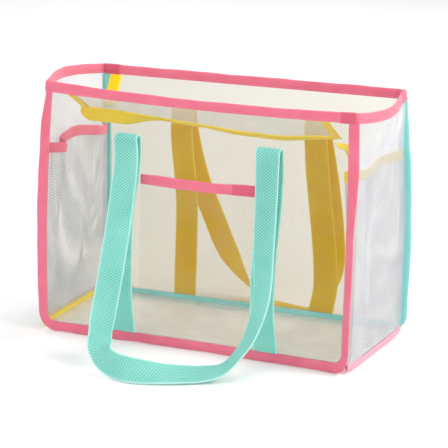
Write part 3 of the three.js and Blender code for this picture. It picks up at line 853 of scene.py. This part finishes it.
def front_pocket_pieces():
    x, z = np.linspace(-SLIP_HALF, SLIP_HALF, 36), np.linspace(TAPE_W + 0.4, SLIP_TOP - 1.8, 34)
    gx, gz = np.meshgrid(x, z, indexing="ij")
    body = Body()
    middle = np.stack([gx + FRONT_SHIFT, front_pocket_y(gx, gz), gz], -1)
    body.sheet(sag(middle), np.stack([gx, gz], -1), FILM_T)
    sheet = body.piece("front_pocket_film", SOFT_FILM, "bag", ["front_pocket"])
    x = np.linspace(-SLIP_HALF, SLIP_HALF, 60)
    z = np.full_like(x, SLIP_TOP - TAPE_W)
    path = np.stack([x + FRONT_SHIFT, front_pocket_y(x, z), z], 1)
    across = same((0, 0, 1), len(x))
    normal = unit(np.cross(np.gradient(path, axis=0), across))
    taped_edge("front_pocket_tape", path, across, normal, PINK_SEWN, "front_pocket_binding",
               thick=MOUTH_T, seed=5.0)
    # the tape's end lapped over itself at the right, in the deeper pink copy that is painted shade
    lap = x > SLIP_HALF - 31
    body = Body()
    profile = fold_profile(TAPE_W + 0.8, MOUTH_T + 0.9)
    shifted = path[lap] - (0, 0, 0.3)
    band(body, shifted, across[lap], normal[lap], profile, seed=6.0, even=0.08)
    body.piece("front_pocket_lap", PINK_PAINTED_SHADE, "bag")
    return sheet


front_pocket_film = front_pocket_pieces()


# ---- webbing: sewn straps and loops ----
WEB_STITCH = WEB_W / 2 - 3.4     # from the webbing's middle to its rows of stitches
WEB_FACE = WEB_T / 2 + 0.06      # from its middle layer to the thread lying on it


def sewn_strap(side, x, name, node, sewn, drift):
    """drift(z) moves the strap's middle sideways where the slack film carries it."""
    material, thread, slot = sewn
    z = np.linspace(*STRAP_Z, 70)
    path = np.stack([x + drift(z), np.full_like(z, side * STRAP_Y), z], 1)
    across, normal = same((1, 0, 0), len(z)), same((0, side, 0), len(z))
    body = Body()
    band(body, path, across, normal, strap_profile(WEB_W, WEB_T), seed=x * 0.01, even=0.02)
    body.piece(name, material, "bag", [node])
    threads = Body()
    for edge in (-1, 1):
        line = path + across * edge * WEB_STITCH + normal * WEB_FACE
        stitches(threads, line[2:-3], across[2:-3], normal[2:-3])
    for row in (STRAP_Z[1] - 9, STRAP_Z[1] - 6.5, STRAP_Z[0] + 4):
        reach = x + np.interp(row, z, drift(z)) + np.linspace(-1, 1, 12) * WEB_STITCH
        line = np.column_stack([reach, same((side * (STRAP_Y + WEB_FACE), row), 12)])
        stitches(threads, line, same((0, 0, 1), 12), normal[:12])
    threads.piece(name + "_stitches", thread, "bag")


sewn_strap(
    -1, FRONT_SHIFT - STRAP_X, "front_webbing_left", "front_strap_left", MINT_STRAP,
    lambda z: -9 * smooth((235 - z) / 90) + 4.5 * smooth((70 - z) / 60),
)
sewn_strap(
    -1, FRONT_SHIFT + STRAP_X, "front_webbing_right", "front_strap_right", MINT_STRAP,
    lambda z: -7 * smooth((220 - z) / 130) + 4 * smooth((60 - z) / 50),
)
sewn_strap(
    1, -STRAP_X, "back_webbing_left", "back_strap_left", YELLOW_STRAP,
    lambda z: 8 * smooth((230 - z) / 110),
)
sewn_strap(
    1, STRAP_X, "back_webbing_right", "back_strap_right", YELLOW_STRAP,
    lambda z: 14 * smooth((240 - z) / 190) - 6 * smooth((50 - z) / 45),
)

# The places that each loop hangs through, from its left root to its right, as in the CAD, each
# followed by the direction of the webbing's width there.
FRONT_RUN = (
    (-77, -102, 230, 1, 0.1, 0), (-77, -118, 168, 0.95, 0.3, 0),
    (-78, -140, 100, 0.92, 0.39, 0), (-77, -160, 59, 0.9, 0.42, 0),
    (-73, -178, 35, 0.5, 0.85, -0.05), (-58, -203, 20.5, 0.15, 0.6, 0.75),
    (-36, -220, 16.2, 0.05, 0.3, 0.95), (-14, -223, 14.4, -0.1, 0.5, 0.86),
    (14, -211, 10.6, -0.25, 0.75, 0.57), (40, -197, 8.6, -0.4, 0.8, 0.42),
    (60, -184, 8, -0.5, 0.75, 0.32), (80, -174, 13, -0.5, 0.8, 0.1),
    (95, -167, 29, -0.58, 0.81, 0), (105, -154, 49, -0.67, 0.74, 0),
    (109, -131, 88, -0.85, 0.53, 0), (104, -114, 142, -0.96, 0.28, 0),
    (101, -102, 200, -0.99, 0.14, 0),
)
BACK_RUN = (
    (-89, 104, 224, 1, 0, 0), (-80, 118, 162, 1, 0.1, 0), (-63, 131, 107, 0.98, 0.15, 0),
    (-46, 137, 64, 0.95, 0, 0.1), (-18, 136, 26, 0.6, -0.7, 0.25), (12, 127, 6, 0.2, -1, 0.06),
    (44, 118, 2.4, 0, -1, 0), (76, 114, 5, -0.1, -1, 0.05), (97, 117, 27, -0.4, -0.9, 0),
    (106, 119, 60, -0.85, -0.5, 0), (107, 116, 103, -0.98, -0.2, 0), (102, 108, 170, -1, 0, 0),
    (95, 100, 224, -1, 0, 0),
)
FOLD_IN = LOOP_Y - STRAP_Y       # the fold's radius, from the sewn strap round to the loop


def fold_arc(x, side, width):
    """Half a turn from the top of the sewn strap, over the hinge line and down the front."""
    out = []
    for a in np.radians(np.linspace(0, 180, 13)):
        y = side * (LOOP_Y - FOLD_IN * math.cos(a))
        out.append((x, y, LOOP_Z + FOLD_IN * math.sin(a), width, 0, 0))
    return out


def loop(side, shift, name, node, run, material):
    left = fold_arc(shift - STRAP_X, side, 1)
    right = fold_arc(shift + STRAP_X, side, -1)[::-1]
    body_run = curve([left[-1], *run, right[0]], 3.0)
    rows = np.vstack([evenly(left, 1.0)[:-1], body_run, evenly(right, 1.0)[1:]])
    path = rows[:, :3]
    across, ahead = square_on(rows[:, 3:], path)
    normal = np.cross(ahead, across)
    body = Body()
    band(body, path, across, normal, strap_profile(WEB_W, WEB_T), on_floor, seed=side, even=0.02)
    made = body.piece(name, material, None, [node])
    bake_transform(made)


loop(-1, FRONT_SHIFT, "front_loop_webbing", "front_handle", FRONT_RUN, MINT_WEB)
loop(1, 0, "back_loop_webbing", "back_handle", BACK_RUN, YELLOW_WEB)


# ---- inner flap ----
FLAP_DEPTH = 62.0
FLAP_DROOP = math.radians(33)
FLAP_TURN = 43.0        # how far from its seam the flap's left part turns down
FLAP_SINK = 7.0         # how far its taped edge stands in from the film's there

# the tape's loose end: places, each followed by the direction of its width
TAIL_RUN = (
    (160, -32, 254, 0, 1, 0.1), (167, -24, 251, 0.2, 1, 0), (171, -17, 244, 0.3, 1, 0),
    (172, -11, 233, 0.3, 1, 0), (171, -7, 221, 0.2, 1, 0),
)


def flap_hang(x):
    """1 where the flap's taped edge hangs down, 0 where it lies with the film."""
    return 1 - smooth((x + 118) / 64)


def flap_place(points):
    """From the flat flap, x across and y away from its hinge, to where it droops in the bag."""
    p = np.array(points, float)
    x, d, lift = p[..., 0], p[..., 1], p[..., 2]
    t = np.clip(d / FLAP_DEPTH, 0, 1.4)
    wave = 1.6 * np.sin(x / 24 + 0.6) + 0.9 * np.sin(x / 11 + 2)
    # it hangs from the front rim, so its root follows the rim's own slope and sag
    u = np.clip(x / HALF_W, -1, 1)
    rise = 2.2 - 2.7 * u - 4.3 * (1 - u**2)
    droop = FLAP_DROOP + np.radians(2.5 * np.sin(x / 90 + 0.5) + 3 * np.sin(x / 37) * t)
    droop = droop - np.maximum(rise, 0) / FLAP_TURN
    y = FLAP_HINGE[1] + d * np.cos(droop) + lift * np.sin(droop)
    z = FLAP_HINGE[2] - d * np.sin(droop) + lift * np.cos(droop) + wave * t**2 * 0.5
    over = np.maximum(d - FLAP_TURN, 0) * flap_hang(x)
    y, z = y - 0.5 * over, z - 0.3 * over
    return np.stack([x, y, z + np.minimum(rise, 0)], -1)


def flap_tail():
    """The loose end of the flap's tape, hanging from its right corner."""
    rows = curve(TAIL_RUN, 3.0)
    path = rows[:, :3]
    across, ahead = square_on(rows[:, 3:], path)
    body = Body()
    shape = strap_profile(TAPE_W, 1.1)
    band(body, path, across, np.cross(ahead, across), shape, on_floor, seed=1.2, even=0.05)
    body.piece("flap_tape_tail", YELLOW_TAPE, "flap")


def flap_pieces():
    root = 1.8
    x = np.linspace(-1, 1, 60) * (FLAP_HALF - FILM_IN)
    gx, gd = np.meshgrid(x, np.linspace(root, FLAP_DEPTH - FILM_IN, 14), indexing="ij")
    body = Body()
    flat = np.stack([gx, gd, np.zeros_like(gx)], -1)
    body.sheet(flap_place(flat), np.stack([gx, gd], -1), FILM_T)
    sheet = body.piece("flap_film", SOFT_FILM, "flap", ["inner_flap"])
    # tape up the left side, along the free edge and back up the right side
    inner, deep, tight = FLAP_HALF - TAPE_W, FLAP_DEPTH - TAPE_W, 0.4
    turn = np.radians(np.linspace(0, 90, 8)[1:-1])
    corner = [
        (inner - tight * (1 - c), deep - tight * (1 - s), c, s)
        for c, s in zip(np.cos(turn), np.sin(turn))
    ]
    rows = [(-inner, d, -1, 0) for d in np.linspace(root, deep - FLAP_SINK - 1, 9)]
    rows += [(-x, d - FLAP_SINK, -c, s) for x, d, c, s in corner]
    rows += [(x, deep - FLAP_SINK * flap_hang(x), 0, 1)
             for x in np.linspace(-inner + tight, inner - tight, 90)]
    rows += corner[::-1] + [(inner, d, 1, 0) for d in np.linspace(deep - 1, root, 9)]
    line, out = np.array(rows)[:, :2], np.array(rows)[:, 2:]
    path = np.column_stack([line, np.zeros(len(line))])
    across = np.column_stack([out, np.zeros(len(out))])
    taped_edge(
        "flap_tape", path, across, same((0, 0, 1), len(line)), YELLOW_SEWN, "flap_binding",
        body="flap", warp=flap_place, thick=2.5, seed=3.3,
        wide=0.8 + (out[:, 1] * 1.05 * flap_hang(line[:, 0])) * (out[:, 0] < 0.1),
    )
    flap_tail()
    return sheet


flap_film = flap_pieces()


# ---- key strap and snap hook, drawn hanging straight down from the key hinge ----
KEY_LEAN = math.radians(30)
KEY_W = 16.0
EYE_Z = -36.0
BOSS_Z = EYE_Z - 9
HOOK_W, HOOK_H = 12.0, 19.0
HOOK_MID = BOSS_Z - 1 - HOOK_H / 2
GATE_LOW, GATE_HIGH = HOOK_MID - 3.6, HOOK_MID + 3.4


def key_place(points):
    p = np.array(points, float)
    x, y, z = p[..., 0], p[..., 1], p[..., 2]
    c, s = math.cos(KEY_LEAN), math.sin(KEY_LEAN)
    return np.stack([x, y * c + z * s, -y * s + z * c], -1) + KEY_HINGE


def wire(body, points, radius, closed=False, sides=12):
    """A round bar through points. Bars here turn in one plane, whose normal is Y."""
    p = np.asarray(points, float)
    if closed:
        ahead = unit(np.roll(p, -1, 0) - np.roll(p, 1, 0))
    else:
        ahead = unit(np.gradient(p, axis=0))
    side = same((0, 1, 0), len(p))
    a = np.linspace(0, 2 * math.pi, sides, False)
    r = np.broadcast_to(radius, len(p))
    grid = sweep(p, side, np.cross(ahead, side), np.stack([np.cos(a), np.sin(a)], 1), r, r)
    body.rings(key_place(grid), cloth_rows(lengths(p), a), closed)


def lathe(body, outline, sides=24):
    """A body turned about the hanging axis from (radius, z) pairs."""
    a = np.linspace(0, 2 * math.pi, sides, False)
    ring = np.stack([np.cos(a), np.sin(a)], 1)
    grid = np.array([[(r * c, r * s, z) for c, s in ring] for r, z in outline], float)
    body.rings(key_place(grid), cloth_rows(np.arange(len(outline)), a))


def key_pieces():
    ply, turn = 0.85, 2.35
    down = [(ply, z) for z in np.linspace(3, EYE_Z + 7, 12)]
    bend = np.radians(np.linspace(75, -75, 13))
    round_ = [(turn * math.sin(a), EYE_Z - turn * math.cos(a)) for a in bend]
    up = [(-ply, z) for z in np.linspace(EYE_Z + 7, 3, 12)]
    line = evenly([(0, y, z) for y, z in down + round_ + up], 1.2)
    across = same((1, 0, 0), len(line))
    normal = unit(np.cross(np.gradient(line, axis=0), across))
    body = Body()
    band(body, line, across, normal, strap_profile(KEY_W, 1.2), key_place, seed=2.2, even=0.04)
    body.piece("key_webbing", YELLOW_WEB_KEY, "key", ["key_strap"])
    sewn = Body()
    for z in (EYE_Z + 9, EYE_Z + 11.5):
        for face in (1, -1):
            t = np.linspace(-1, 1, 10) * (KEY_W / 2 - 1.6)
            row = np.column_stack([t, same((face * (ply + 0.62), z), 10)])
            stitches(sewn, row, same((0, 0, 1), 10), same((0, face, 0), 10), key_place,
                     2.4, 1.9, 0.22)
    sewn.piece("key_webbing_stitches", YELLOW_THREAD, "key")
    eye = Body()
    half = KEY_W / 2 + 1.3
    low = [(half, EYE_Z), (half - 0.3, EYE_Z - 2.4), (4.4, BOSS_Z + 2.6), (2.4, BOSS_Z + 1.4)]
    top = [(x, EYE_Z + 0.2) for x in np.linspace(half - 0.7, -half + 0.7, 9)]
    outline = [(-x, z) for x, z in low] + low[::-1] + top
    ring = np.array([(x, 0, z) for x, z in outline + outline[:1]])
    wire(eye, evenly(ring, 0.8)[:-1], 1.05, closed=True)
    boss = [(1.65, 3.0), (3.0, 2.9), (3.35, 2.4), (3.35, 0.6), (3.0, 0.1), (1.65, 0)]
    lathe(eye, [(r, BOSS_Z + z) for r, z in boss])
    eye.piece("hook_eye_ring", NICKEL, "key", ["hook_eye"])
    hook = Body()
    reach = HOOK_W / 2 - 1.3
    rise = (HOOK_H - HOOK_W) / 2
    path = [(reach, GATE_HIGH + 0.5)]
    for start, middle in ((0, HOOK_MID + rise), (180, HOOK_MID - rise)):
        turned = np.radians(np.linspace(start, start + 180, 17))
        path += [(reach * math.cos(a), middle + reach * math.sin(a)) for a in turned]
    path += [(reach, GATE_LOW - 0.5)]
    wire(hook, evenly([(x, 0, z) for x, z in path], 0.7), 1.25)
    pivot = [(0.3, 4.5), (1.5, 4.4), (2.2, 3.9), (2.1, 3.5), (1.15, 3.3), (1.15, -0.3),
             (2.3, -0.6), (2.5, -1.6), (1.2, -2.4), (0.3, -2.5)]
    lathe(hook, [(r, BOSS_Z + z) for r, z in pivot])
    hook.piece("snap_hook", NICKEL, "hook", ["hook_body"])
    gate = Body()
    bar = [(reach, 0, z) for z in np.linspace(GATE_LOW + 0.2, GATE_HIGH - 0.1, 12)]
    fat = np.array([0.5, 0.95, 1.1, 1.1, 1.0, 0.95, 0.95, 0.95, 1.0, 1.05, 1.0, 0.5])
    wire(gate, bar, fat)
    nib = [(reach + x, 0, GATE_HIGH + z) for x, z in ((0.5, -1.9), (1.1, -1.8), (1.9, -1.6))]
    wire(gate, nib, np.array([0.8, 0.75, 0.45]))
    gate.piece("snap_gate", NICKEL, "gate", ["hook_gate"])


# its last colour is the pale of a painted edge highlight
YELLOW_WEB_KEY = webbing_material(
    "yellow_key_webbing", rgb(255, 222, 8), rgb(255, 242, 36), rgb(255, 246, 110), KEY_W / 2 * MM
)
key_pieces()


# ---- floor, light and camera ----
def floor_piece():
    mesh = bpy.data.meshes.new("floor")
    size = 12.0
    corners = [(-size, -size, 0), (size, -size, 0), (size, size, 0), (-size, size, 0)]
    mesh.from_pydata([(x, y, z - 0.0004) for x, y, z in corners], [], [(0, 1, 2, 3)])
    n = Nodes("pale_floor")
    colour = n.blend(n.noise(3, 2), rgb(232, 232, 232), rgb(236, 236, 236))
    inputs = {"Base Color": colour, "Roughness": 0.9, "Specular IOR Level": 0.1}
    mesh.materials.append(n.finish(n.new("BsdfPrincipled", inputs).outputs[0]))
    link("floor", mesh)


floor_piece()


def area_light(name, place, target, size, watts, colour):
    data = bpy.data.lights.new(name, "AREA")
    data.shape = "DISK"
    data.size = size
    data.energy = watts
    data.color = colour
    obj = link(name, data)
    obj.location = place
    obj.rotation_euler = (Vector(target) - Vector(place)).to_track_quat("-Z", "Y").to_euler()


centre = (0, MID_Y * MM, 0.14)
area_light("key", (2.0, 0.2, 1.7), centre, 1.3, 32, (1.0, 0.985, 0.96))
area_light("fill", (-0.8, -2.6, 1.5), centre, 2.2, 15, (1.0, 1.0, 1.0))
area_light("rear", (0.5, 2.4, 1.3), centre, 1.6, 24, (1.0, 1.0, 1.0))

world = bpy.data.worlds.new("studio")
bpy.context.scene.world = world
world.use_nodes = True
sky = world.node_tree.nodes["Background"]
sky.inputs["Color"].default_value = (1.0, 1.0, 1.0, 1)
sky.inputs["Strength"].default_value = 1.08

scene = bpy.context.scene
scene.view_settings.view_transform = "Standard"
# light has to get through the two faces of each of up to six films and back out again
scene.cycles.transparent_max_bounces = 32

AZIMUTH, ELEVATION, ROLL = 22.86, 14.27, 0.9
DISTANCE = 2.198
TARGET = Vector((0.0061, MID_Y * MM, 0.1356))
camera_data = bpy.data.cameras.new("camera")
camera_data.lens = 144.6
camera_data.sensor_width = 36
camera_data.clip_end = 60
camera = link("camera", camera_data)
az, el = math.radians(AZIMUTH), math.radians(ELEVATION)
away = Vector((math.sin(az) * math.cos(el), -math.cos(az) * math.cos(el), math.sin(el)))
camera.location = TARGET + away * DISTANCE
turned = (-away).to_track_quat("-Z", "Y").to_matrix().to_4x4()
from_roll = turned @ Matrix.Rotation(math.radians(ROLL), 4, "Z")
camera.rotation_euler = from_roll.to_euler()
scene.camera = camera
